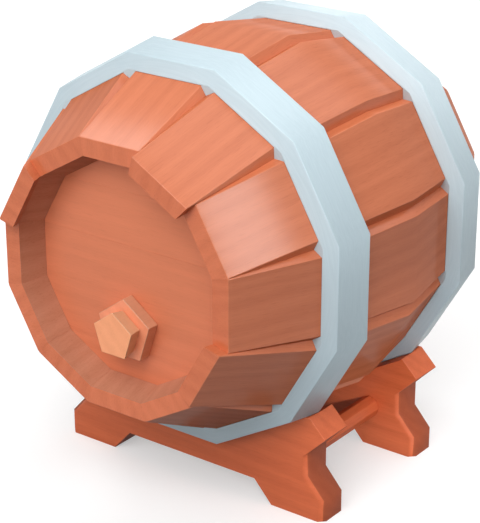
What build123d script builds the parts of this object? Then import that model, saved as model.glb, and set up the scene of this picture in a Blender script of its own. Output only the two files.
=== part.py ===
import os
from math import cos, radians, sin, tan

from build123d import *

os.makedirs("parts", exist_ok=True)

# Keg, in millimetres. A flat is the distance from the keg's axis to one of its flat sides.
stave_count = 12
half_length = 200.0
shoulder_set_back = 79.4
rim_flat = 125.0
shoulder_flat = 163.0
bilge_flat = 181.6
rim_wall = 16.6
shoulder_wall = 33.0
bilge_wall = 29.0
joint_gap = 0.1

# Three staves stand proud of the front rim
long_stave_hours = (1, 4, 10)
long_stave_reach = 9.4
long_stave_flat = 122.8
long_stave_wall = 16.2

# V-grooves between the staves, nearly closed at the rims
groove_half_width = 7.5
groove_depth = 8.4
rim_groove_share = 0.06

# Heads, let into croze grooves in the staves
head_recess = 25.5
head_flat = 100.8
head_thickness = 16.0
croze_depth = 5.0
head_fit = 0.2
edge_board_height = 32.1
middle_boards = 3
seam_gap = 0.2
dowel_radius = 4.0
dowel_length = 30.0
dowel_x = 45.0
dowel_fit = 0.05
dowel_end_gap = 0.5

# Tap bush and stopper in the second board from the bottom, a little below its middle
tap_drop = 2.0
bush_radius = 30.2
bush_thickness = 12.5
spigot_radius = 14.0
spigot_reach = 3.0
spigot_fit = 0.05
bore_radius = 9.0
stopper_radius = 22.5
stopper_taper = 3.0
stopper_thickness = 15.0
shank_length = 34.0
shank_fit = 0.2
shank_taper = 1.0
stopper_gap = 0.1
tap_sides = 5

# Hoops, with bevelled sides
hoop_width = 48.2
hoop_thickness = 14.0
hoop_edge = 1.0
hoop_outer_bevel = 3.9
hoop_inner_bevel = 6.0
hoop_fit = 0.05

# Cradle
bolster_thickness = 35.8
seat_lap = 16.8
seat_gap = 0.2
seat_web = 30.1
arch_height = 21.4
arch_half_width = 75.0
foot_inner_half_width = 94.5
foot_half_width = 152.3
foot_height = 22.0
flare_height = 20.0
neck_half_width = 134.5
horn_rise = 1.4
horn_land = 0.8
horn_face = 24.0
horn_face_angle = 45.0
end_bevel = 6.0
stretcher_x = 101.2
stretcher_z = 42.3
stretcher_radius = 10.9
stretcher_sides = 8
tenon_radius = 7.0
tenon_length = 16.0
tenon_fit = 0.05
socket_end_gap = 0.5

# Places that follow from the sizes above
half_angle = 180.0 / stave_count
corner = 1.0 / cos(radians(half_angle))
shoulder_y = half_length - shoulder_set_back
head_y = half_length - head_recess
head_back_y = head_y - head_thickness
croze_flat = head_flat + croze_depth
head_edge_flat = croze_flat - head_fit
hoop_back_y = shoulder_y - hoop_width
crown_front_y = shoulder_y - hoop_outer_bevel
crown_back_y = hoop_back_y + hoop_inner_bevel
flat_slope = (bilge_flat - shoulder_flat) / shoulder_y
hoop_back_flat = bilge_flat - flat_slope * hoop_back_y
crown_front_flat = bilge_flat - flat_slope * crown_front_y + hoop_thickness
crown_back_flat = bilge_flat - flat_slope * crown_back_y + hoop_thickness
seat_flat = crown_back_flat + seat_gap
axis_z = arch_height + seat_web + seat_flat
mid_y = long_stave_reach / 2
bolster_outer_y = crown_back_y + seat_lap
bolster_inner_y = bolster_outer_y - bolster_thickness
board_pitch = 2 * (head_edge_flat - edge_board_height) / middle_boards
tap_z = -board_pitch * (middle_boards - 1) / 2 - tap_drop
rim_inner_flat = rim_flat - rim_wall
blank_flat = head_flat / 2


def keg_plane(y, clock_angle=0.0):
    """Plane across the keg's axis: its Y points at the clock angle, its normal at the front."""
    turn = radians(clock_angle)
    return Plane(origin=(0, mid_y + y, axis_z), x_dir=(cos(turn), 0, -sin(turn)), z_dir=(0, -1, 0))


def floor_plane(y):
    """Upright plane across the cradle: its Y is the height above the floor, its normal points forwards."""
    return Plane(origin=(0, mid_y + y, 0), x_dir=(1, 0, 0), z_dir=(0, -1, 0))


def keg_section(y, flat):
    """Section of the keg: a face with one flat side at each clock position."""
    with BuildSketch(keg_plane(y)) as section:
        RegularPolygon(flat, stave_count, major_radius=False, rotation=half_angle)
    return section.sketch


def keg_frustum(*stations):
    """Sections of a many-sided tapered solid along the keg's axis, for stations of (y, flat)."""
    return [keg_section(y, flat) for y, flat in stations]


def stave_section(y, clock_angle, flat, groove_share):
    """Section of one stave before it is hollowed: its flat, two groove walls and two joint faces."""
    groove_x = groove_half_width * groove_share
    groove_y = groove_depth * groove_share
    side = tan(radians(half_angle))
    half_flat = flat * side - groove_x - joint_gap / 2
    root_y = flat - groove_y * cos(radians(half_angle))
    root_x = root_y * side - joint_gap / 2
    blank_x = blank_flat * side - joint_gap / 2
    with BuildSketch(keg_plane(y, clock_angle)) as section:
        Polygon(
            (-blank_x, blank_flat),
            (blank_x, blank_flat),
            (root_x, root_y),
            (half_flat, flat),
            (-half_flat, flat),
            (-root_x, root_y),
            align=None,
        )
    return section.sketch


def grooved_section(y, flat):
    """Section of the keg's outside: a face with the flats of the staves and the grooves between them."""
    half_flat = flat * tan(radians(half_angle)) - groove_half_width
    root_radius = flat * corner - groove_depth
    points = []
    for hour in range(stave_count):
        turn = radians(2 * half_angle * hour)
        root_turn = turn + radians(half_angle)
        for x in (-half_flat, half_flat):
            points.append((x * cos(turn) + flat * sin(turn), flat * cos(turn) - x * sin(turn)))
        points.append((root_radius * sin(root_turn), root_radius * cos(root_turn)))
    with BuildSketch(keg_plane(y)) as section:
        Polygon(*points, align=None)
    return section.sketch


# Hollow of the keg: its inside, the croze grooves of both heads and the flared mouths
inside = keg_frustum(
    (-head_back_y, head_flat),
    (-shoulder_y, shoulder_flat - shoulder_wall),
    (0.0, bilge_flat - bilge_wall),
    (shoulder_y, shoulder_flat - shoulder_wall),
    (head_back_y, head_flat),
)
lip_y = half_length + long_stave_reach
with BuildPart() as hollow:
    loft(inside, ruled=True)
    for end in (-1, 1):
        with BuildSketch(keg_plane(end * head_y)):
            RegularPolygon(croze_flat, stave_count, major_radius=False, rotation=half_angle)
        extrude(amount=end * head_thickness)
        mouth = keg_frustum((end * head_y, head_flat), (end * half_length, rim_inner_flat))
        loft(mouth, ruled=True)
    lip = keg_frustum((-half_length, rim_inner_flat), (-lip_y, long_stave_flat - long_stave_wall))
    loft(lip, ruled=True)


# Staves, named by their clock position seen from the front
for hour in range(1, stave_count + 1):
    clock_angle = 2 * half_angle * hour
    is_long = hour in long_stave_hours
    front_y = -lip_y if is_long else -half_length
    front_flat = long_stave_flat if is_long else rim_flat
    sections = [
        stave_section(front_y, clock_angle, front_flat, rim_groove_share),
        stave_section(-shoulder_y, clock_angle, shoulder_flat, 1.0),
        stave_section(0.0, clock_angle, bilge_flat, 1.0),
        stave_section(shoulder_y, clock_angle, shoulder_flat, 1.0),
        stave_section(half_length, clock_angle, rim_flat, rim_groove_share),
    ]
    with BuildPart() as stave:
        loft(sections, ruled=True)
        add(hollow.part, mode=Mode.SUBTRACT)
    stave.part.label = f"stave_{hour:02d}"
    export_step(stave.part, f"parts/stave_{hour:02d}.step")


# Hoops: rings with a flat over each stave and ribs that fill the grooves between the staves
for name, end in (("front_hoop", -1), ("rear_hoop", 1)):
    outside = keg_frustum(
        (end * shoulder_y, shoulder_flat + hoop_edge),
        (end * crown_front_y, crown_front_flat),
        (end * crown_back_y, crown_back_flat),
        (end * hoop_back_y, hoop_back_flat + hoop_edge),
    )
    opening = [
        grooved_section(end * shoulder_y, shoulder_flat + hoop_fit),
        grooved_section(end * hoop_back_y, hoop_back_flat + hoop_fit),
    ]
    with BuildPart() as hoop:
        loft(outside, ruled=True)
        loft(opening, ruled=True, mode=Mode.SUBTRACT)
    hoop.part.label = name
    export_step(hoop.part, f"parts/{name}.step")


# Heads: boards from the top down, joined edge to edge by dowels
board_count = middle_boards + 2
seams = [board_pitch * (middle_boards / 2 - i) for i in range(board_count - 1)]
edges = [head_edge_flat] + seams + [-head_edge_flat]
socket_depth = dowel_length / 2 + dowel_end_gap
for head_name, front_face_y in (("front_head", -head_y), ("rear_head", head_back_y)):
    for number in range(1, board_count + 1):
        top = edges[number - 1] - (seam_gap / 2 if number > 1 else 0.0)
        bottom = edges[number] + (seam_gap / 2 if number < board_count else 0.0)
        with BuildPart() as board:
            with BuildSketch(keg_plane(front_face_y + head_fit / 2)):
                RegularPolygon(head_edge_flat, stave_count, major_radius=False, rotation=half_angle)
                with Locations((0, (top + bottom) / 2)):
                    Rectangle(4 * head_edge_flat, top - bottom, mode=Mode.INTERSECT)
            extrude(amount=-(head_thickness - head_fit))
            for seam in seams:
                for x in (-dowel_x, dowel_x):
                    middle = (x, mid_y + front_face_y + head_thickness / 2, axis_z + seam - socket_depth)
                    with BuildSketch(Plane(origin=middle)):
                        Circle(dowel_radius + dowel_fit)
                    extrude(amount=2 * socket_depth, mode=Mode.SUBTRACT)
            if head_name == "front_head" and bottom < tap_z < top:
                with BuildSketch(keg_plane(front_face_y)):
                    with Locations((0, tap_z)):
                        Circle(spigot_radius + spigot_fit)
                extrude(amount=-head_thickness, mode=Mode.SUBTRACT)
        board.part.label = f"{head_name}_board_{number}"
        export_step(board.part, f"parts/{head_name}_board_{number}.step")
    with BuildPart() as dowels:
        for seam in seams:
            for x in (-dowel_x, dowel_x):
                middle = (x, mid_y + front_face_y + head_thickness / 2, axis_z + seam - dowel_length / 2)
                with BuildSketch(Plane(origin=middle)):
                    Circle(dowel_radius)
                extrude(amount=dowel_length)
    dowels.part.label = f"{head_name}_dowels"
    export_step(dowels.part, f"parts/{head_name}_dowels.step")


# Tap bush: a five-sided collar on the front head, with a round spigot through the board
with BuildPart() as tap_bush:
    with BuildSketch(keg_plane(-head_y)):
        with Locations((0, tap_z)):
            RegularPolygon(bush_radius, tap_sides, rotation=90)
    extrude(amount=bush_thickness)
    with BuildSketch(keg_plane(-head_y)):
        with Locations((0, tap_z)):
            Circle(spigot_radius)
    extrude(amount=-(head_thickness + spigot_reach))
    with BuildSketch(keg_plane(-head_y - bush_thickness)):
        with Locations((0, tap_z)):
            Circle(bore_radius)
    extrude(amount=-(bush_thickness + head_thickness + spigot_reach), mode=Mode.SUBTRACT)
tap_bush.part.label = "tap_bush"
export_step(tap_bush.part, "parts/tap_bush.step")


# Stopper: a five-sided knob that widens to the front, on a round tapered shank
stopper_back_y = -head_y - bush_thickness - stopper_gap
shank_root = bore_radius - shank_fit
with BuildPart() as stopper:
    with BuildSketch(keg_plane(stopper_back_y)):
        with Locations((0, tap_z)):
            RegularPolygon(stopper_radius - stopper_taper, tap_sides, rotation=90)
    with BuildSketch(keg_plane(stopper_back_y - stopper_thickness)):
        with Locations((0, tap_z)):
            RegularPolygon(stopper_radius, tap_sides, rotation=90)
    loft(ruled=True)
    with BuildSketch(keg_plane(stopper_back_y)):
        with Locations((0, tap_z)):
            Circle(shank_root)
    with BuildSketch(keg_plane(stopper_back_y + shank_length)):
        with Locations((0, tap_z)):
            Circle(shank_root - shank_taper)
    loft()
stopper.part.label = "stopper"
export_step(stopper.part, "parts/stopper.step")


# Bolsters: planks with a seat cut to the hoop, raised horns, a waist and bevelled feet
seat_end_angle = 3 * half_angle
seat_end_x = seat_flat * corner * sin(radians(seat_end_angle))
horn_z = axis_z - seat_flat * corner * cos(radians(seat_end_angle)) + horn_rise
horn_x = seat_end_x + horn_rise * tan(radians(2 * half_angle)) + horn_land
tip_step = horn_face * sin(radians(horn_face_angle))
tip_x = horn_x + tip_step
tip_z = horn_z - tip_step
notch_z = tip_z - (tip_x - neck_half_width)
right_outline = (
    (0, horn_z),
    (horn_x, horn_z),
    (tip_x, tip_z),
    (neck_half_width, notch_z),
    (neck_half_width, foot_height + flare_height),
    (foot_half_width, foot_height),
    (foot_half_width, 0),
    (foot_inner_half_width, 0),
    (arch_half_width, arch_height),
    (0, arch_height),
)
for name, end in (("front_bolster", -1), ("rear_bolster", 1)):
    # The seat follows the hoop, then runs on straight past the inner face
    seat = keg_frustum(
        (end * crown_front_y, crown_front_flat + seat_gap),
        (end * crown_back_y, seat_flat),
        (end * (bolster_inner_y - seat_lap), seat_flat),
    )
    with BuildPart() as bolster:
        with BuildSketch(floor_plane(end * bolster_outer_y)):
            with BuildLine():
                Polyline(*right_outline)
                mirror(about=Plane.YZ)
            make_face()
        extrude(amount=end * bolster_thickness)
        # The waist and the feet are bevelled at both ends, on both faces
        faces = bolster.faces().filter_by(Axis.Y)
        rims = faces.edges().filter_by(lambda e: abs(e.center().X) > neck_half_width - end_bevel / 2)
        chamfer(rims.filter_by(lambda e: e.center().Z < notch_z - end_bevel / 2), end_bevel)
        loft(seat, ruled=True, mode=Mode.SUBTRACT)
        for x in (-stretcher_x, stretcher_x):
            with BuildSketch(floor_plane(end * bolster_inner_y)):
                with Locations((x, stretcher_z)):
                    Circle(tenon_radius + tenon_fit)
            extrude(amount=-end * (tenon_length + socket_end_gap), mode=Mode.SUBTRACT)
    bolster.part.label = name
    export_step(bolster.part, f"parts/{name}.step")


# Stretchers: eight-sided bars with a round tenon at each end
for name, x in (("left_stretcher", -stretcher_x), ("right_stretcher", stretcher_x)):
    with BuildPart() as stretcher:
        with BuildSketch(floor_plane(-bolster_inner_y)):
            with Locations((x, stretcher_z)):
                RegularPolygon(stretcher_radius, stretcher_sides, rotation=90)
        extrude(amount=-2 * bolster_inner_y)
        with BuildSketch(floor_plane(-bolster_inner_y - tenon_length)):
            with Locations((x, stretcher_z)):
                Circle(tenon_radius)
        extrude(amount=-2 * (bolster_inner_y + tenon_length))
    stretcher.part.label = name
    export_step(stretcher.part, f"parts/{name}.step")
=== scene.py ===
import math

import bmesh
import bpy
from mathutils import Matrix, Vector


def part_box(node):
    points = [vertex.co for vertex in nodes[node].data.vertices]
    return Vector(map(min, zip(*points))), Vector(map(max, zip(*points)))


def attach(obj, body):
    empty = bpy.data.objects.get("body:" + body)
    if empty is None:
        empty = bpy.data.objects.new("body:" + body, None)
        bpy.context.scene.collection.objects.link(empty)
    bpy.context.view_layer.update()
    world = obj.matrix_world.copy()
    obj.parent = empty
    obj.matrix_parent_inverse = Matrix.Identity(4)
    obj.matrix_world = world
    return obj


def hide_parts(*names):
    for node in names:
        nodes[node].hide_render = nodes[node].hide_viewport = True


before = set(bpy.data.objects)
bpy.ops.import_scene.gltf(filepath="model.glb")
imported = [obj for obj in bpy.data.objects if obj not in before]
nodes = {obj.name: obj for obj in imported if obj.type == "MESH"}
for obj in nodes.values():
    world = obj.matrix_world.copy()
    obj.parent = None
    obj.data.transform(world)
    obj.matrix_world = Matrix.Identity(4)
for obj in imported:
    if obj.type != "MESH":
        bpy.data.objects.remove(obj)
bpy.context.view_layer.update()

# the keg's axis runs along Y, halfway up the hoops
hoopLow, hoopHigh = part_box("front_hoop")
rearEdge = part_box("rear_hoop")[1].y
axisZ = (hoopLow.z + hoopHigh.z) / 2
midY = (hoopLow.y + rearEdge) / 2
staveCount = 12
stepAngle = 2 * math.pi / staveCount
cornerRatio = 1 / math.cos(stepAngle / 2)  # from a flat's distance to its corner's
print("frame loaded, keg axis at", round(axisZ, 4), "and its middle at", round(midY, 4))


# Small helpers for meshes

mergeDistance = 2e-6
flatAngle = math.radians(0.4)  # faces closer in angle than this are one face
wearWidth = 0.0012  # rounded edges are made of faces narrower than this


def addObject(name, data):
    obj = bpy.data.objects.new(name, data)
    bpy.context.scene.collection.objects.link(obj)
    return obj


def meshFromBmesh(name, bm):
    mesh = bpy.data.meshes.new(name)
    bm.to_mesh(mesh)
    bm.free()
    return mesh


def applyModifiers(obj):
    # the evaluated result becomes the object's own plain mesh
    depsgraph = bpy.context.evaluated_depsgraph_get()
    baked = bpy.data.meshes.new_from_object(obj.evaluated_get(depsgraph))
    obj.modifiers.clear()
    old = obj.data
    obj.data = baked
    baked.name = obj.name
    if old.users == 0:
        bpy.data.meshes.remove(old)


def finishWith(obj, material):
    obj.data.materials.clear()
    obj.data.materials.append(material)
    for polygon in obj.data.polygons:
        polygon.material_index = 0


def roundEdges(obj, width, angle):
    bevel = obj.modifiers.new("roundEdges", "BEVEL")
    bevel.width = width
    bevel.segments = 2
    bevel.limit_method = "ANGLE"
    bevel.angle_limit = math.radians(angle)
    bevel.use_clamp_overlap = True
    return bevel


def weighNormals(obj):
    # large faces lead, so flats stay flat and soft corners blend
    for polygon in obj.data.polygons:
        polygon.use_smooth = True
    weigh = obj.modifiers.new("weighNormals", "WEIGHTED_NORMAL")
    weigh.mode = "FACE_AREA"
    weigh.weight = 50
    weigh.keep_sharp = True
    applyModifiers(obj)


def storeValues(mesh, name, values):
    layer = mesh.attributes.new(name, "FLOAT", "POINT")
    layer.data.foreach_set("value", values)


def markWear(mesh):
    # the middle line of a rounded edge touches narrow faces only
    widest = [0.0] * len(mesh.vertices)
    for polygon in mesh.polygons:
        corners = [mesh.vertices[index].co for index in polygon.vertices]
        longest = max((corners[i] - corners[i - 1]).length for i in range(len(corners)))
        for index in polygon.vertices:
            widest[index] = max(widest[index], polygon.area / longest)
    storeValues(mesh, "edgeWear", [1.0 if width < wearWidth else 0.0 for width in widest])


def mergedCopy(nodeName, name):
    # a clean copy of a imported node: merged corners, flat faces in one piece
    bm = bmesh.new()
    bm.from_mesh(nodes[nodeName].data)
    bmesh.ops.remove_doubles(bm, verts=bm.verts, dist=mergeDistance)
    bmesh.ops.dissolve_limit(bm, angle_limit=flatAngle, verts=bm.verts, edges=bm.edges)
    return addObject(name, meshFromBmesh(name, bm))


# Small helpers for node trees

def addNode(tree, kind, label=None, values=None, **settings):
    # values fill the node's inputs: a socket is linked, anything else is set
    node = tree.nodes.new(kind)
    if label:
        node.label = label
    for key, value in settings.items():
        setattr(node, key, value)
    for key, value in (values or {}).items():
        if isinstance(value, bpy.types.NodeSocket):
            tree.links.new(value, node.inputs[key])
        else:
            node.inputs[key].default_value = value
    return node


def addMath(tree, operation, *terms, **settings):
    values = dict(enumerate(terms))
    return addNode(tree, "ShaderNodeMath", None, values, operation=operation, **settings).outputs[0]


def addSplit(tree, vector):
    return addNode(tree, "ShaderNodeSeparateXYZ", None, {0: vector}).outputs


def addVector(tree, **parts):
    return addNode(tree, "ShaderNodeCombineXYZ", None, parts).outputs[0]


def addRange(tree, value, start, end):
    # rises from 0 to 1 between start and end
    values = {"Value": value, "From Min": start, "From Max": end}
    return addNode(tree, "ShaderNodeMapRange", None, values).outputs["Result"]


def addNoise(tree, label, vector, **values):
    return addNode(tree, "ShaderNodeTexNoise", label, {"Vector": vector, **values}).outputs["Fac"]


def addMix(tree, factor, first, second, **settings):
    values = {"Factor": factor, "A": first, "B": second}
    return addNode(tree, "ShaderNodeMix", None, values, data_type="RGBA", **settings).outputs["Result"]


def newGroup(name, kind, inputs, outputs):
    tree = bpy.data.node_groups.new(name, kind)
    for socketName, socketType, default in inputs:
        socket = tree.interface.new_socket(socketName, in_out="INPUT", socket_type=socketType)
        if default is not None:
            socket.default_value = default
    for socketName, socketType in outputs:
        tree.interface.new_socket(socketName, in_out="OUTPUT", socket_type=socketType)
    return tree, tree.nodes.new("NodeGroupInput").outputs, tree.nodes.new("NodeGroupOutput").inputs


def endTree(tree, geometry, finish, result):
    realize = addNode(tree, "GeometryNodeRealizeInstances", None, {0: geometry})
    paint = addNode(tree, "GeometryNodeSetMaterial", None,
                    {"Geometry": realize.outputs[0], "Material": finish})
    tree.links.new(paint.outputs[0], result)


def addModifier(obj, tree, values):
    # a modifier's inputs go by their sockets' identifiers
    modifier = obj.modifiers.new(tree.name, "NODES")
    modifier.node_group = tree
    identifiers = {item.name: item.identifier for item in tree.interface.items_tree
                   if item.item_type == "SOCKET" and item.in_out == "INPUT"}
    for name, value in values.items():
        modifier[identifiers[name]] = value


# Shared shader groups

def makeWoodGrain():
    tree, given, results = newGroup("woodGrain", "ShaderNodeTree", [
        ("Vector", "NodeSocketVector", None),
        ("Pale", "NodeSocketColor", (0.8, 0.3, 0.2, 1)),
        ("Deep", "NodeSocketColor", (0.5, 0.15, 0.1, 1)),
        ("Fibre", "NodeSocketFloat", 0.2),
        ("Mottle", "NodeSocketFloat", 0.2),
        ("Pores", "NodeSocketFloat", 0.2),
        ("Shift", "NodeSocketFloat", 0.0),
        ("Base Roughness", "NodeSocketFloat", 0.5),
    ], [("Color", "NodeSocketColor"), ("Roughness", "NodeSocketFloat"), ("Height", "NodeSocketFloat")])
    ringShare, roughSpread, poreDip = 0.35, 0.16, -0.4
    deepPores = (0.58, 0.72)  # only these show
    place = given["Vector"]
    mottle = addNoise(tree, "broad tone", place, Scale=0.9, Detail=2.0)
    fibre = addNoise(tree, "fibres", place, Scale=7.0, Detail=6.0, Roughness=0.62, Distortion=0.35)
    rings = addNode(tree, "ShaderNodeTexWave", "growth rings",
                    {"Vector": place, "Scale": 0.55, "Distortion": 5.0, "Detail": 2.0},
                    wave_type="BANDS", bands_direction="DIAGONAL").outputs["Fac"]
    flecks = addRange(tree, addNoise(tree, "pores", place, Scale=24.0, Detail=1.0), *deepPores)
    # the others run from about -0.5 to 0.5 before they are weighed
    broad, fine, bands = [addMath(tree, "SUBTRACT", value, 0.5) for value in (mottle, fibre, rings)]
    figure = addMath(tree, "MULTIPLY_ADD", bands, ringShare, fine)
    depth = addMath(tree, "MULTIPLY", figure, given["Fibre"])
    depth = addMath(tree, "MULTIPLY_ADD", broad, given["Mottle"], depth)
    depth = addMath(tree, "MULTIPLY_ADD", flecks, given["Pores"], depth)
    depth = addMath(tree, "ADD", depth, given["Shift"])
    depth = addMath(tree, "ADD", depth, 0.5, use_clamp=True)
    link = tree.links.new
    link(addMix(tree, depth, given["Pale"], given["Deep"]), results["Color"])
    rough = addMath(tree, "MULTIPLY_ADD", fine, roughSpread, given["Base Roughness"])
    link(rough, results["Roughness"])
    link(addMath(tree, "MULTIPLY_ADD", flecks, poreDip, fibre), results["Height"])
    return tree


def makeBrushedBand():
    # brush lines that run round the hoop, from the angle about the keg's axis
    tree, given, results = newGroup("brushedBand", "ShaderNodeTree", [
        ("Vector", "NodeSocketVector", None),
        ("Bright", "NodeSocketColor", (0.8, 0.85, 0.9, 1)),
        ("Dull", "NodeSocketColor", (0.6, 0.65, 0.7, 1)),
        ("Brush", "NodeSocketFloat", 0.3),
        ("Patina", "NodeSocketFloat", 0.3),
        ("Base Roughness", "NodeSocketFloat", 0.5),
    ], [("Color", "NodeSocketColor"), ("Roughness", "NodeSocketFloat"), ("Height", "NodeSocketFloat")])
    roughSpread = 0.25
    place = addSplit(tree, given["Vector"])
    turn = addMath(tree, "ARCTAN2", place["X"], place["Z"])
    spoke = addVector(tree, X=place["X"], Z=place["Z"])
    reach = addNode(tree, "ShaderNodeVectorMath", None, {0: spoke}, operation="LENGTH").outputs["Value"]
    unrolled = addVector(tree, X=turn, Y=place["Y"], Z=reach)
    stretched = addNode(tree, "ShaderNodeMapping", "long lines",
                        {"Vector": unrolled, "Scale": (2.2, 420.0, 420.0)}).outputs[0]
    brush = addNoise(tree, "brush lines", stretched, Scale=1.6, Detail=4.0)
    patina = addNoise(tree, "patina", given["Vector"], Scale=11.0, Detail=3.0)
    fine, broad = [addMath(tree, "SUBTRACT", value, 0.5) for value in (brush, patina)]
    depth = addMath(tree, "MULTIPLY", fine, given["Brush"])
    depth = addMath(tree, "MULTIPLY_ADD", broad, given["Patina"], depth)
    factor = addMath(tree, "ADD", depth, 0.5, use_clamp=True)
    link = tree.links.new
    link(addMix(tree, factor, given["Bright"], given["Dull"]), results["Color"])
    rough = addMath(tree, "MULTIPLY_ADD", depth, roughSpread, given["Base Roughness"])
    link(rough, results["Roughness"])
    link(brush, results["Height"])
    return tree


def makeRingFaces():
    # masks for the faces of a ring about the keg's axis: its ends, and those that look inwards
    tree, given, results = newGroup("ringFaces", "ShaderNodeTree", [
        ("Vector", "NodeSocketVector", None),
        ("Normal", "NodeSocketVector", None),
        ("Axis Height", "NodeSocketFloat", 0.2),
    ], [("Rim", "NodeSocketFloat"), ("Inside", "NodeSocketFloat")])
    squareOn = (0.90, 0.97)  # how squarely a face looks along the axis before it counts as an end
    lookingIn = (-0.3, -0.6)  # and how little it looks outwards before it counts as inside
    along = addMath(tree, "ABSOLUTE", addSplit(tree, given["Normal"])["Y"])
    place = addSplit(tree, given["Vector"])
    height = addMath(tree, "SUBTRACT", place["Z"], given["Axis Height"])
    spoke = addVector(tree, X=place["X"], Z=height)
    outward = addNode(tree, "ShaderNodeVectorMath", None, {0: spoke}, operation="NORMALIZE").outputs[0]
    dot = addNode(tree, "ShaderNodeVectorMath", None, {0: outward, 1: given["Normal"]},
                  operation="DOT_PRODUCT").outputs["Value"]
    tree.links.new(addRange(tree, along, *squareOn), results["Rim"])
    tree.links.new(addRange(tree, dot, *lookingIn), results["Inside"])
    return tree


def makeRubbedEdges():
    # a broken mask along the rounded edges, from the wear stored on the mesh
    tree, given, results = newGroup("rubbedEdges", "ShaderNodeTree", [
        ("Vector", "NodeSocketVector", None),
        ("Wear", "NodeSocketFloat", 0.0),
    ], [("Mask", "NodeSocketFloat")])
    rubbed = (0.36, 0.62)  # where in the noise the wear starts, and is full
    patches = addNoise(tree, "worn in places", given["Vector"], Scale=38.0, Detail=4.0)
    mask = addMath(tree, "MULTIPLY", addRange(tree, patches, *rubbed), given["Wear"])
    tree.links.new(mask, results["Mask"])
    return tree


woodGrain = makeWoodGrain()
ringFaces = makeRingFaces()
rubbedEdges = makeRubbedEdges()
brushedBand = makeBrushedBand()


# Materials

grainStep = (170.0, 310.0, 230.0)  # how far a piece's tone moves it through the grain
sawnEnd = (0.72, 0.79)  # how squarely a face looks along X before it counts as a sawn end
paintedShadeHeights = (0.05, -0.08)  # from the keg's axis: where a hoop's painted shade starts, and is full
woodRelief = 0.0006
steelRelief = 0.0003


def newMaterial(name):
    material = bpy.data.materials.new(name)
    material.use_nodes = True
    tree = material.node_tree
    return material, tree, tree.nodes["Principled BSDF"]


def addTint(tree, colour, mask, tint):
    # multiplies a colour by a tint where the mask is set
    return addMix(tree, mask, colour, (*tint, 1), blend_type="MULTIPLY", clamp_result=True)


def addEdgeMask(tree, place):
    wear = addNode(tree, "ShaderNodeAttribute", attribute_name="edgeWear").outputs["Fac"]
    edges = addNode(tree, "ShaderNodeGroup", node_tree=rubbedEdges)
    tree.links.new(place, edges.inputs["Vector"])
    tree.links.new(wear, edges.inputs["Wear"])
    return edges.outputs["Mask"]


def fillGroup(tree, group, vector, finish):
    for key, value in finish["group"].items():
        group.inputs[key].default_value = (*value, 1) if isinstance(value, tuple) else value
    tree.links.new(vector, group.inputs["Vector"])


def fillShader(tree, shader, group, colour, finish, relief):
    bump = addNode(tree, "ShaderNodeBump", None, {
        "Strength": finish["bump"], "Distance": relief, "Height": group.outputs["Height"]})
    link = tree.links.new
    link(colour, shader.inputs["Base Color"])
    link(group.outputs["Roughness"], shader.inputs["Roughness"])
    link(bump.outputs[0], shader.inputs["Normal"])
    for key, value in finish["shader"].items():
        shader.inputs[key].default_value = value


def makeWood(name, finish):
    material, tree, shader = newMaterial(name)
    link = tree.links.new
    coords = addNode(tree, "ShaderNodeTexCoord").outputs
    place = coords["Object"]
    if "placeAttribute" in finish:
        stored = addNode(tree, "ShaderNodeAttribute", attribute_name=finish["placeAttribute"])
        place = stored.outputs["Vector"]
    mapping = addNode(tree, "ShaderNodeMapping", "grain direction",
                      {"Vector": place, "Scale": finish["grainScale"]})
    # each stave has a random tone of its own and each head board a painted shade, paler at the top and
    # deeper towards the bottom; each also gets its own stretch of grain
    tone = addNode(tree, "ShaderNodeAttribute", attribute_name="woodTone").outputs
    cut = addNode(tree, "ShaderNodeVectorMath", None,
                  {0: tone["Vector"], 1: grainStep, 2: mapping.outputs[0]}, operation="MULTIPLY_ADD")
    grain = addNode(tree, "ShaderNodeGroup", node_tree=woodGrain)
    fillGroup(tree, grain, cut.outputs[0], finish)
    link(tone["Fac"], grain.inputs["Shift"])
    colour = grain.outputs["Color"]
    if "rimPaintedLight" in finish:
        # painted light: faces that look along the axis, the stave rims' end grain and the fronts of the
        # bush and stopper, are painted lighter than the sides; the chime's inner wall gets a painted
        # sheen
        faces = addNode(tree, "ShaderNodeGroup", node_tree=ringFaces)
        faces.inputs["Axis Height"].default_value = axisZ
        link(coords["Object"], faces.inputs["Vector"])
        link(coords["Normal"], faces.inputs["Normal"])
        colour = addTint(tree, colour, faces.outputs["Rim"], finish["rimPaintedLight"])
        if "insidePaintedSheen" in finish:
            # painted sheen: the chime's inner wall is painted paler and pinker
            colour = addTint(tree, colour, faces.outputs["Inside"], finish["insidePaintedSheen"])
    if "endGrainAndShade" in finish:
        # sawn ends are darker: end grain, and painted shade on the faces that look along X
        across = addMath(tree, "ABSOLUTE", addSplit(tree, coords["Normal"])["X"])
        colour = addTint(tree, colour, addRange(tree, across, *sawnEnd), finish["endGrainAndShade"])
    if "edgeTint" in finish:
        colour = addTint(tree, colour, addEdgeMask(tree, coords["Object"]), finish["edgeTint"])
    fillShader(tree, shader, grain, colour, finish, woodRelief)
    return material


def makeMetal(name, finish):
    material, tree, shader = newMaterial(name)
    place = addNode(tree, "ShaderNodeTexCoord").outputs["Object"]
    mapping = addNode(tree, "ShaderNodeMapping", "centre on the keg's axis",
                      {"Vector": place, "Location": (0, 0, -axisZ)})
    band = addNode(tree, "ShaderNodeGroup", node_tree=brushedBand)
    fillGroup(tree, band, mapping.outputs[0], finish)
    # painted shade: the hoop is painted darker low down, below the keg's axis
    low = addRange(tree, addSplit(tree, mapping.outputs[0])["Z"], *paintedShadeHeights)
    colour = addTint(tree, band.outputs["Color"], low, finish["lowPaintedShade"])
    colour = addTint(tree, colour, addEdgeMask(tree, place), finish["edgeTint"])
    fillShader(tree, shader, band, colour, finish, steelRelief)
    return material


def varnish(weight, roughness):
    # a satin varnish over matte wood
    return {"Specular IOR Level": 0.0, "Coat IOR": 2.2,
            "Coat Weight": weight, "Coat Roughness": roughness}


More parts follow.
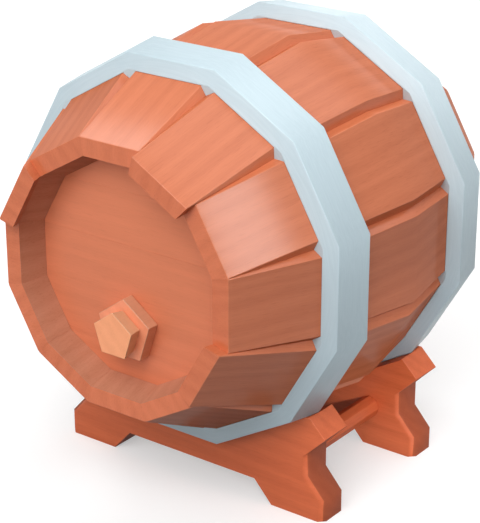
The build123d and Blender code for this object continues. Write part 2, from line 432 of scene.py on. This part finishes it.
# Finishes: colours are linear, grain scales are per metre along X, Y and Z
staveFinish = {
    "group": {"Pale": (0.688, 0.207, 0.096), "Deep": (0.516, 0.138, 0.057),
              "Fibre": 0.65, "Mottle": 0.45, "Pores": 0.3, "Base Roughness": 0.45},
    "grainScale": (70, 3.5, 16), "placeAttribute": "grainPlace",
    "bump": 0.12, "shader": varnish(0.20, 0.20),
    # the rims' end grain painted paler, and a painted sheen on the chime's inner wall
    "rimPaintedLight": (1.13, 1.03, 1.00), "insidePaintedSheen": (0.84, 1.20, 1.60), "edgeTint": (1.13, 1.24, 1.34),
}
headFinish = {
    "group": {"Pale": (0.788, 0.242, 0.121), "Deep": (0.624, 0.186, 0.090),
              "Fibre": 0.5, "Mottle": 0.35, "Pores": 0.25, "Base Roughness": 0.45},
    "grainScale": (3.5, 70, 70), "bump": 0.10, "shader": varnish(0.18, 0.34),
}
dowelFinish = dict(headFinish, grainScale=(45, 45, 3))
bushFinish = {
    "group": {"Pale": (0.700, 0.342, 0.207), "Deep": (0.610, 0.285, 0.166),
              "Fibre": 1.0, "Mottle": 0.6, "Pores": 0.5, "Base Roughness": 0.5},
    "grainScale": (70, 5, 70), "bump": 0.12, "shader": varnish(0.25, 0.34),
    # the bush's front painted lighter and redder than its sides
    "rimPaintedLight": (1.31, 0.97, 0.88),
}
stopperFinish = {
    "group": {"Pale": (0.795, 0.460, 0.268), "Deep": (0.708, 0.392, 0.223),
              "Fibre": 1.0, "Mottle": 0.6, "Pores": 0.5, "Base Roughness": 0.5},
    "grainScale": (70, 5, 70), "bump": 0.12, "shader": varnish(0.25, 0.34),
    # the stopper's front painted lighter and redder than its sides
    "rimPaintedLight": (1.30, 0.92, 0.79),
}
barFinish = {
    "group": {"Pale": (0.695, 0.156, 0.059), "Deep": (0.530, 0.106, 0.036),
              "Fibre": 0.75, "Mottle": 0.5, "Pores": 0.35, "Base Roughness": 0.45},
    "grainScale": (70, 3.5, 70), "bump": 0.12, "shader": varnish(0.2, 0.34),
    "edgeTint": (1.13, 1.26, 1.36),
}
# the plank ends darker: end grain and painted shade
cradleFinish = dict(barFinish, grainScale=(3.5, 70, 70), endGrainAndShade=(0.56, 0.52, 0.46))
hoopFinish = {
    "group": {"Bright": (0.548, 0.664, 0.718), "Dull": (0.450, 0.566, 0.620),
              "Brush": 0.9, "Patina": 0.6, "Base Roughness": 0.46},
    "bump": 0.10, "shader": {"Metallic": 0.15, "Specular IOR Level": 0.5},
    # painted shade low on the hoop
    "lowPaintedShade": (0.72, 0.73, 0.74), "edgeTint": (1.09, 1.08, 1.07),
}
staveWood = makeWood("staveWood", staveFinish)
headWood = makeWood("headWood", headFinish)
bushWood = makeWood("bushWood", bushFinish)
stopperWood = makeWood("stopperWood", stopperFinish)
cradleWood = makeWood("cradleWood", cradleFinish)
barWood = makeWood("barWood", barFinish)
dowelWood = makeWood("dowelWood", dowelFinish)
hoopSteel = makeMetal("hoopSteel", hoopFinish)
print("finishes made")


# Staves: one short and one long stave, set round the axis by Geometry Nodes

staveSizes = {
    "shortFrom": "stave_12",  # stands upright, at twelve o'clock
    "longFrom": "stave_01",  # one step round from it
    "longHours": (1, 4, 10),
    "edge": 0.0011,
    "edgeAngle": 26.0,
    "jointEase": 0.08,  # share of that rounding where two staves meet
    "jointReach": 0.0002,  # how near the plane between two staves counts as their joint
    "outward": 0.8,  # a face that looks up more than this is the outer face
    "inward": -0.6,  # a face that looks outwards less than this is the chime's inner wall
    "toneSpread": 0.20,
    "toneSeed": 944,
}


def weightEdges(mesh):
    # full rounding on sharp edges, next to none along the joints with the neighbouring staves
    bm = bmesh.new()
    bm.from_mesh(mesh)
    weight = bm.edges.layers.float.new("bevel_weight_edge")
    slope = math.tan(stepAngle / 2)
    reach = staveSizes["jointReach"]
    for edge in bm.edges:
        if edge.calc_face_angle(0) > math.radians(staveSizes["edgeAngle"]):
            joint = all(abs(abs(vert.co.x) - vert.co.z * slope) < reach for vert in edge.verts)
            edge[weight] = staveSizes["jointEase"] if joint else 1.0
    bm.to_mesh(mesh)
    bm.free()


def spokeTo(place):
    return Vector((place.x, 0, place.z - axisZ)).normalized()


def smoothChime(mesh):
    # the chime's inner wall is dressed round: its shading runs on from stave to stave
    normals = [corner.vector.copy() for corner in mesh.corner_normals]
    for polygon in mesh.polygons:
        if polygon.normal.dot(spokeTo(polygon.center)) > staveSizes["inward"]:
            continue
        along = polygon.normal.y
        for corner in polygon.loop_indices:
            spoke = spokeTo(mesh.vertices[mesh.loops[corner].vertex_index].co)
            normals[corner] = Vector((0, along, 0)) - spoke * math.sqrt(1 - along * along)
    mesh.normals_split_custom_set(normals)


def outerBow(mesh):
    # the outer face of an upright stave: height above the keg's axis along its length
    outer = [polygon for polygon in mesh.polygons if polygon.normal.z > staveSizes["outward"]]
    return sorted({(round(mesh.vertices[index].co.y, 5), round(mesh.vertices[index].co.z, 5))
                   for polygon in outer for index in polygon.vertices})


def bowHeight(bow, y):
    for (startY, startZ), (endY, endZ) in zip(bow, bow[1:]):
        if startY <= y <= endY and startY < endY:
            return startZ + (endZ - startZ) * (y - startY) / (endY - startY)
    return bow[0][1] if y < bow[0][0] else bow[-1][1]


def layGrain(mesh, bow):
    # places in the stave with its bow taken out, so the grain follows the bent wood
    place = mesh.attributes.new("grainPlace", "FLOAT_VECTOR", "POINT")
    for vertex, spot in zip(mesh.vertices, place.data):
        spot.vector = (vertex.co.x, vertex.co.y, vertex.co.z - bowHeight(bow, vertex.co.y))


def staveBlank(nodeName, name, hoursRound):
    # a rounded copy, turned back upright about the keg's axis
    obj = mergedCopy(nodeName, name)
    obj.data.transform(Matrix.Translation((0, 0, -axisZ)))
    obj.data.transform(Matrix.Rotation(-hoursRound * stepAngle, 4, "Y"))
    bow = outerBow(obj.data)
    weightEdges(obj.data)
    bevel = roundEdges(obj, staveSizes["edge"], staveSizes["edgeAngle"])
    bevel.limit_method = "WEIGHT"
    applyModifiers(obj)
    layGrain(obj.data, bow)
    return obj


def addSpots(tree, count, **values):
    # points on one spot, one for each turn about it
    values = {"Count": count, "Offset": (0, 0, 0), **values}
    return addNode(tree, "GeometryNodeMeshLine", None, values, mode="OFFSET").outputs[0]


def addTurn(tree, angle):
    # a turn about the Y axis
    return addNode(tree, "FunctionNodeEulerToRotation", None, {0: addVector(tree, Y=angle)}).outputs[0]


def addShape(tree, obj):
    return addNode(tree, "GeometryNodeObjectInfo", None, {"Object": obj},
                   transform_space="ORIGINAL").outputs["Geometry"]


def addInstances(tree, **values):
    return addNode(tree, "GeometryNodeInstanceOnPoints", None, values).outputs[0]


def makeStaveRing():
    tree, given, results = newGroup("staveRing", "GeometryNodeTree", [
        ("Short Stave", "NodeSocketGeometry", None),
        ("Long Stave", "NodeSocketObject", None),
        ("Stave Count", "NodeSocketInt", 12),
        ("Long Hour A", "NodeSocketInt", 1),
        ("Long Hour B", "NodeSocketInt", 4),
        ("Long Hour C", "NodeSocketInt", 10),
        ("Axis Height", "NodeSocketFloat", 0.2),
        ("Tone Spread", "NodeSocketFloat", 0.1),
        ("Tone Seed", "NodeSocketInt", 1),
        ("Finish", "NodeSocketMaterial", None),
    ], [("Geometry", "NodeSocketGeometry")])
    hub = addVector(tree, Z=given["Axis Height"])
    spots = addSpots(tree, given["Stave Count"], **{"Start Location": hub})
    hour = addNode(tree, "GeometryNodeInputIndex").outputs[0]
    step = addMath(tree, "DIVIDE", 2 * math.pi, given["Stave Count"])
    turn = addTurn(tree, addMath(tree, "MULTIPLY", hour, step))
    # the hours whose stave is long
    isLong = None
    for letter in "ABC":
        same = addNode(tree, "FunctionNodeCompare", None, {2: hour, 3: given["Long Hour " + letter]},
                       data_type="INT", operation="EQUAL").outputs[0]
        isLong = same if isLong is None else addNode(
            tree, "FunctionNodeBooleanMath", None, {0: isLong, 1: same}, operation="OR").outputs[0]
    isShort = addNode(tree, "FunctionNodeBooleanMath", None, {0: isLong}, operation="NOT").outputs[0]
    longStave = addShape(tree, given["Long Stave"])
    join = addNode(tree, "GeometryNodeJoinGeometry")
    for chosen, shape in ((isShort, given["Short Stave"]), (isLong, longStave)):
        ring = addInstances(tree, Points=spots, Selection=chosen, Instance=shape, Rotation=turn)
        tree.links.new(ring, join.inputs[0])
    low = addMath(tree, "MULTIPLY", given["Tone Spread"], -1.0)
    tone = addNode(tree, "FunctionNodeRandomValue", None,
                   {2: low, 3: given["Tone Spread"], "Seed": given["Tone Seed"]},
                   data_type="FLOAT").outputs[1]
    # the same attribute carries the head boards' painted shade
    store = addNode(tree, "GeometryNodeStoreNamedAttribute", None,
                    {"Geometry": join.outputs[0], "Name": "woodTone", "Value": tone},
                    data_type="FLOAT", domain="INSTANCE")
    endTree(tree, store.outputs[0], given["Finish"], results[0])
    return tree


def buildStaves():
    longBlank = staveBlank(staveSizes["longFrom"], "longStaveBlank", 1)
    ring = staveBlank(staveSizes["shortFrom"], "keg_staves", 0)
    hourA, hourB, hourC = staveSizes["longHours"]
    addModifier(ring, makeStaveRing(), {
        "Long Stave": longBlank, "Stave Count": staveCount,
        "Long Hour A": hourA, "Long Hour B": hourB, "Long Hour C": hourC,
        "Tone Spread": staveSizes["toneSpread"], "Tone Seed": staveSizes["toneSeed"],
        "Axis Height": axisZ, "Finish": staveWood})
    applyModifiers(ring)
    weighNormals(ring)
    smoothChime(ring.data)
    markWear(ring.data)
    finishWith(ring, staveWood)
    bpy.data.objects.remove(longBlank)
    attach(ring, "keg")
    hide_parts(*[f"stave_{hour:02d}" for hour in range(1, staveCount + 1)])
    print("staves set round the keg:", len(ring.data.polygons), "faces")


buildStaves()


# Hoops: a bevelled profile swept round a twelve-sided path, with a rib in each groove between the staves

hoopSizes = {
    "frontFlat": 0.1630,  # the staves' flats under the hoop's outer edge
    "backFlat": 0.17043,  # and under its inner edge
    "fit": 0.00005,
    "edgeThickness": 0.0010,
    "outerBevel": 0.0039,
    "innerBevel": 0.0060,
    "thickness": 0.0140,
    "soft": 0.0007,  # how far the profile's corners are cut back
    "softShare": 0.3,  # and the most of a short side that this may take
    "grooveHalfWidth": 0.0075,
    "grooveDepth": 0.0084,
    "path": 0.0001,  # a hair-thin path: the profile carries its own distance from the axis
}


def hoopStations(width):
    # distance from the outer edge, and the flat there: along the outside, then back along the inside
    s = hoopSizes
    slope = (s["backFlat"] - s["frontFlat"]) / width
    crownFront = s["frontFlat"] + slope * s["outerBevel"] + s["thickness"]
    crownBack = s["frontFlat"] + slope * (width - s["innerBevel"]) + s["thickness"]
    return [
        (0.0, s["frontFlat"] + s["edgeThickness"]),
        (s["outerBevel"], crownFront),
        (width - s["innerBevel"], crownBack),
        (width, s["backFlat"] + s["edgeThickness"]),
        (width, s["backFlat"] + s["fit"]),
        (0.0, s["frontFlat"] + s["fit"]),
    ]


def softCorners(points):
    # each corner becomes three points: cut back on both sides, and eased in between
    rounded = []
    share = hoopSizes["softShare"]
    for i, point in enumerate(points):
        here = Vector(point)
        before = Vector(points[i - 1]) - here
        after = Vector(points[(i + 1) % len(points)]) - here
        cut = min(hoopSizes["soft"], share * before.length, share * after.length)
        start = here + before.normalized() * cut
        end = here + after.normalized() * cut
        rounded += [start, (start + end + 2 * here) / 4, end]
    return rounded


def hoopProfile(name, width):
    curve = bpy.data.curves.new(name, "CURVE")
    curve.dimensions = "3D"
    points = softCorners(hoopStations(width))
    spline = curve.splines.new("POLY")
    spline.points.add(len(points) - 1)
    spline.use_cyclic_u = True
    for target, (along, flat) in zip(spline.points, points):
        target.co = (flat * cornerRatio, along, 0, 1)
    return addObject(name, curve)


def joinRings(bm, rings):
    # a closed body from rings of four corners each
    for lower, upper in zip(rings, rings[1:]):
        for i in range(4):
            j = (i + 1) % 4
            bm.faces.new((lower[i], lower[j], upper[j], upper[i]))
    bm.faces.new(rings[0])
    bm.faces.new(rings[-1])
    bmesh.ops.recalc_face_normals(bm, faces=bm.faces)


def hoopRib(name, width):
    # fills one groove: its keel lies on the groove's root, its back inside the hoop
    s = hoopSizes
    bm = bmesh.new()
    wing = s["grooveHalfWidth"] * math.cos(stepAngle / 2)
    drop = s["grooveHalfWidth"] * math.sin(stepAngle / 2)
    rings = []
    for along, flat in ((0.0, s["frontFlat"]), (width, s["backFlat"])):
        corner = flat * cornerRatio
        outline = (
            (0, corner - s["grooveDepth"] + s["fit"]),
            (wing, corner - drop + s["fit"]),
            (0, corner + s["edgeThickness"] / 2),
            (-wing, corner - drop + s["fit"]),
        )
        rings.append([bm.verts.new((x, along, z)) for x, z in outline])
    joinRings(bm, rings)
    for edge in bm.edges:
        edge.smooth = False
    return addObject(name, meshFromBmesh(name, bm))


def makeHoopBand():
    tree, given, results = newGroup("hoopBand", "GeometryNodeTree", [
        ("Geometry", "NodeSocketGeometry", None),
        ("Profile", "NodeSocketObject", None),
        ("Rib", "NodeSocketObject", None),
        ("Flats", "NodeSocketInt", 12),
        ("Axis Height", "NodeSocketFloat", 0.2),
        ("Outer Edge", "NodeSocketFloat", 0.0),
        ("Facing", "NodeSocketFloat", 1.0),
        ("Finish", "NodeSocketMaterial", None),
    ], [("Geometry", "NodeSocketGeometry")])
    path = addNode(tree, "GeometryNodeCurvePrimitiveCircle", None,
                   {"Radius": hoopSizes["path"], "Resolution": given["Flats"]}, mode="RADIUS").outputs[0]
    sweep = addNode(tree, "GeometryNodeCurveToMesh", None,
                    {"Curve": path, "Profile Curve": addShape(tree, given["Profile"])}).outputs[0]
    # from the path's own plane to across the keg, with a flat on top
    halfStep = addMath(tree, "DIVIDE", math.pi, given["Flats"])
    upright = addNode(tree, "GeometryNodeTransform", None,
                      {"Geometry": sweep, "Rotation": (math.pi / 2, 0, 0)}).outputs[0]
    band = addNode(tree, "GeometryNodeTransform", None,
                   {"Geometry": upright, "Rotation": addVector(tree, Y=halfStep)}).outputs[0]
    # ribs at the corners, an odd number of half steps round
    index = addNode(tree, "GeometryNodeInputIndex").outputs[0]
    halfSteps = addMath(tree, "MULTIPLY_ADD", index, 2.0, 1.0)
    turn = addTurn(tree, addMath(tree, "MULTIPLY", halfSteps, halfStep))
    ribs = addInstances(tree, Points=addSpots(tree, given["Flats"]),
                        Instance=addShape(tree, given["Rib"]), Rotation=turn)
    join = addNode(tree, "GeometryNodeJoinGeometry")
    for shape in (band, ribs):
        tree.links.new(shape, join.inputs[0])
    # to its place on the keg; the rear hoop is turned about to face the other way
    move = addNode(tree, "GeometryNodeTransform", None, {
        "Geometry": join.outputs[0], "Rotation": addVector(tree, Z=given["Facing"]),
        "Translation": addVector(tree, Y=given["Outer Edge"], Z=given["Axis Height"])})
    endTree(tree, move.outputs[0], given["Finish"], results[0])
    return tree


def buildHoop(tree, name, nodeName, outerEdge, facing):
    low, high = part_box(nodeName)
    width = high.y - low.y
    profile = hoopProfile(name + "Profile", width)
    rib = hoopRib(name + "Rib", width)
    hoop = addObject(name, bpy.data.meshes.new(name))
    addModifier(hoop, tree, {
        "Profile": profile, "Rib": rib, "Flats": staveCount, "Axis Height": axisZ,
        "Outer Edge": outerEdge, "Facing": facing, "Finish": hoopSteel})
    applyModifiers(hoop)
    weighNormals(hoop)
    markWear(hoop.data)
    finishWith(hoop, hoopSteel)
    bpy.data.objects.remove(profile)
    bpy.data.objects.remove(rib)
    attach(hoop, "keg")
    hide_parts(nodeName)


hoopTree = makeHoopBand()
buildHoop(hoopTree, "front_hoop_band", "front_hoop", hoopLow.y, 0.0)
buildHoop(hoopTree, "rear_hoop_band", "rear_hoop", rearEdge, math.pi)
print("hoops set on the keg")


# Head boards: slightly crowned, so each catches the light along its upper edge, and each painted a shade
# deeper than the one above

boardSizes = {
    "crown": 0.00035,  # how far a board's edges lie behind its middle
    "rows": 8,
    "rowGap": 1e-4,  # no row stands closer to another
    "close": 0.0001,  # closes the hair gap between two boards
    "outline": 0.99,  # edges past this share of the head's flat lie on its outline
    "edge": 0.00018,
    "edgeAngle": 40.0,
    "paintedShades": (-0.50, -0.26, 0.00, 0.20, 0.32),  # painted shade from the top board down: the top boards paler under the rim's shadow, the lower ones deeper; more is deeper
}
# the hole for the bush's spigot, below the keg's axis
tapHole = {"board": 4, "drop": 0.0510, "radius": 0.01405, "sides": 48, "reach": 0.1}


def headHalfWidth(z, flat):
    # half the width of a twelve-sided head at height z above the axis
    half = flat * cornerRatio
    for k in range(1, staveCount // 2):
        half = min(half, (flat - z * math.cos(k * stepAngle)) / math.sin(k * stepAngle))
    return half


def boreBoard(board, y):
    radius = tapHole["radius"]
    bm = bmesh.new()
    bmesh.ops.create_cone(bm, cap_ends=True, segments=tapHole["sides"], radius1=radius, radius2=radius,
                          depth=tapHole["reach"])
    bmesh.ops.rotate(bm, verts=bm.verts, matrix=Matrix.Rotation(math.pi / 2, 3, "X"))
    bmesh.ops.translate(bm, verts=bm.verts, vec=(0, y, axisZ - tapHole["drop"]))
    drill = addObject("drill", meshFromBmesh("drill", bm))
    cut = board.modifiers.new("bore", "BOOLEAN")
    cut.operation = "DIFFERENCE"
    cut.solver = "EXACT"
    cut.object = drill
    applyModifiers(board)
    bpy.data.objects.remove(drill)


def buildBoard(nodeName, flat, facing, tone, bored=False):
    low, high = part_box(nodeName)
    bottom, top = low.z - axisZ, high.z - axisZ
    if bottom > -boardSizes["outline"] * flat:
        bottom -= boardSizes["close"]
    if top < boardSizes["outline"] * flat:
        top += boardSizes["close"]
    faceY, backY = (low.y, high.y) if facing < 0 else (high.y, low.y)
    # rows up the board, with one at each corner of the head's outline
    count, gap = boardSizes["rows"], boardSizes["rowGap"]
    heights = [bottom + (top - bottom) * i / count for i in range(count + 1)]
    corners = [flat * cornerRatio * math.cos((k + 0.5) * stepAngle) for k in range(staveCount // 2)]
    heights += [z for z in corners
                if bottom + gap < z < top - gap and min(abs(z - h) for h in heights) > gap]
    heights.sort()
    middle, halfHeight = (top + bottom) / 2, (top - bottom) / 2
    bm = bmesh.new()
    rows = []
    for z in heights:
        half = headHalfWidth(z, flat)
        y = faceY - facing * boardSizes["crown"] * ((z - middle) / halfHeight) ** 2
        outline = ((-half, y), (half, y), (half, backY), (-half, backY))
        rows.append([bm.verts.new((x, depth, axisZ + z)) for x, depth in outline])
    joinRings(bm, rows)
    board = addObject(nodeName + "_crowned", meshFromBmesh(nodeName, bm))
    roundEdges(board, boardSizes["edge"], boardSizes["edgeAngle"])
    applyModifiers(board)
    if bored:
        boreBoard(board, (faceY + backY) / 2)
    weighNormals(board)
    finishWith(board, headWood)
    # the board's painted shade, kept where the staves keep their random tones
    storeValues(board.data, "woodTone", [tone] * len(board.data.vertices))
    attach(board, "keg")
    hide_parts(nodeName)


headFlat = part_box("front_head_board_3")[1].x
for number, tone in enumerate(boardSizes["paintedShades"], 1):
    buildBoard(f"rear_head_board_{number}", headFlat, 1, tone)
    buildBoard(f"front_head_board_{number}", headFlat, -1, tone, number == tapHole["board"])
print("head boards made")


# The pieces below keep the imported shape, with rounded edges and soft chamfers

def dress(nodeName, name, body, finish, width, angle):
    obj = mergedCopy(nodeName, name)
    roundEdges(obj, width, angle)
    applyModifiers(obj)
    weighNormals(obj)
    markWear(obj.data)
    finishWith(obj, finish)
    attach(obj, body)
    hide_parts(nodeName)


tapSizes = {"edge": 0.0007, "edgeAngle": 35.0}
dress("tap_bush", "tap_bush_collar", "keg", bushWood,
      tapSizes["edge"], tapSizes["edgeAngle"])
dress("stopper", "stopper_plug", "stopper", stopperWood,
      tapSizes["edge"], tapSizes["edgeAngle"])

cradleSizes = {"edge": 0.0012, "edgeAngle": 50.0, "barEdge": 0.0008, "barAngle": 30.0}
for nodeName in ("front_bolster", "rear_bolster"):
    dress(nodeName, nodeName + "_plank", "cradle", cradleWood,
          cradleSizes["edge"], cradleSizes["edgeAngle"])
for nodeName in ("left_stretcher", "right_stretcher"):
    dress(nodeName, nodeName + "_bar", "cradle", barWood,
          cradleSizes["barEdge"], cradleSizes["barAngle"])
for nodeName in ("front_head_dowels", "rear_head_dowels"):
    for materialSlot in nodes[nodeName].material_slots:
        materialSlot.link = "OBJECT"
        materialSlot.material = dowelWood
print("tap, stopper and cradle dressed")


# Floor, light and camera

# width in metres, shade where it is seen, shade where it throws light back, and a lift where it is seen
floorSetup = {"size": 14.0, "shade": 0.64, "bounce": 0.15, "lift": 0.42}


def addSeenRays(tree):
    # one for rays that show the background: from the camera, in gloss and through glass
    path = addNode(tree, "ShaderNodeLightPath").outputs
    seen = addMath(tree, "MAXIMUM", path["Is Camera Ray"], path["Is Glossy Ray"])
    return addMath(tree, "MAXIMUM", seen, path["Is Transmission Ray"])


def grey(level):
    return (level, level, level, 1)


def buildFloor():
    half = floorSetup["size"] / 2
    corners = ((-half, -half), (half, -half), (half, half), (-half, half))
    bm = bmesh.new()
    bm.faces.new([bm.verts.new((x, y, 0)) for x, y in corners])
    floor = addObject("floor", meshFromBmesh("floor", bm))
    material, tree, shader = newMaterial("floorPaper")
    tree.nodes.remove(shader)
    seen = addSeenRays(tree)
    shade = addMix(tree, seen, grey(floorSetup["bounce"]), grey(floorSetup["shade"]))
    matte = addNode(tree, "ShaderNodeBsdfDiffuse", None, {"Color": shade}).outputs[0]
    lift = addMath(tree, "MULTIPLY", seen, floorSetup["lift"])
    glow = addNode(tree, "ShaderNodeEmission", None, {"Strength": lift}).outputs[0]
    both = addNode(tree, "ShaderNodeAddShader", None, {0: matte, 1: glow}).outputs[0]
    tree.links.new(both, tree.nodes["Material Output"].inputs["Surface"])
    floor.data.materials.append(material)


def buildWorld():
    # white where it is seen, and no light of its own
    world = bpy.data.worlds.new("studio")
    bpy.context.scene.world = world
    world.use_nodes = True
    tree = world.node_tree
    background = tree.nodes["Background"]
    colour = addMix(tree, addSeenRays(tree), grey(0.0), grey(1.0))
    tree.links.new(colour, background.inputs["Color"])
    background.inputs["Strength"].default_value = 1.0


# where each light comes from, its spread in degrees or its distance and size in metres, and its strength
lampSetup = {
    "keyLight": {"towards": (0.262, -0.720, 0.643), "spread": 50, "strength": 1.70},
    "overLight": {"towards": (0.000, -0.500, 0.866), "spread": 50, "strength": 0.98},
    "topLight": {"towards": (0.145, 0.446, 0.883), "spread": 50, "strength": 0.90},
    "frontLight": {"towards": (-0.337, -0.925, 0.174), "spread": 50, "strength": 0.85},
    "nearLight": {"towards": (0.555, -0.741, 0.378), "spread": 40, "strength": 0.16},
    "sideLight": {"towards": (0.887, 0.070, 0.456), "spread": 18, "strength": 0.64},
    "leftLight": {"towards": (-0.561, 0.177, 0.809), "spread": 16, "strength": 0.42},
    "backLight": {"towards": (-0.180, 0.980, 0.080), "spread": 50, "strength": 0.85},
    "cradleLight": {"towards": (0.600, -0.740, 0.300), "aim": (0.120, 0.125, 0.036), "distance": 1.9,
                    "cone": 4.6, "size": 0.12, "strength": 340.0},
}
farDistance = 2.0


def buildLamps():
    # broad lamps from afar, and one narrow one that reaches under the keg
    for name, setup in lampSetup.items():
        narrow = "cone" in setup
        data = bpy.data.lights.new(name, "SPOT" if narrow else "SUN")
        data.energy = setup["strength"]
        if narrow:
            data.spot_size = math.radians(setup["cone"])
            data.spot_blend = 1.0
            data.shadow_soft_size = setup["size"]
        else:
            data.angle = math.radians(setup["spread"])
        lamp = addObject(name, data)
        towards = Vector(setup["towards"]).normalized()
        aim = Vector(setup.get("aim", (0, midY, axisZ)))
        lamp.location = aim + towards * setup.get("distance", farDistance)
        lamp.rotation_euler = towards.to_track_quat("Z", "Y").to_euler()


# the viewpoint, fitted to the photograph: angles about the keg's middle, in degrees and metres
cameraSetup = {
    "azimuth": 36.7796,
    "elevation": 22.1764,
    "distance": 1.70102,
    "right": -0.0100,
    "up": -0.04292,
    "focalPixels": 1804.065,
    "framePixels": 523,
    "sensorHeight": 36.0,
}


def buildCamera():
    azimuth = math.radians(cameraSetup["azimuth"])
    elevation = math.radians(cameraSetup["elevation"])
    back = Vector((math.sin(azimuth) * math.cos(elevation), -math.cos(azimuth) * math.cos(elevation),
                   math.sin(elevation)))
    right = Vector((math.cos(azimuth), math.sin(azimuth), 0))
    up = back.cross(right)
    data = bpy.data.cameras.new("camera")
    data.sensor_fit = "VERTICAL"
    data.sensor_height = cameraSetup["sensorHeight"]
    data.lens = cameraSetup["focalPixels"] * data.sensor_height / cameraSetup["framePixels"]
    camera = addObject("camera", data)
    place = Vector((0, midY, axisZ)) + back * cameraSetup["distance"]
    place += right * cameraSetup["right"] + up * cameraSetup["up"]
    camera.matrix_world = Matrix.Translation(place) @ Matrix((right, up, back)).transposed().to_4x4()
    bpy.context.scene.camera = camera


buildFloor()
buildWorld()
buildLamps()
buildCamera()
bpy.context.scene.view_settings.view_transform = "Standard"
print("floor, light and camera set")
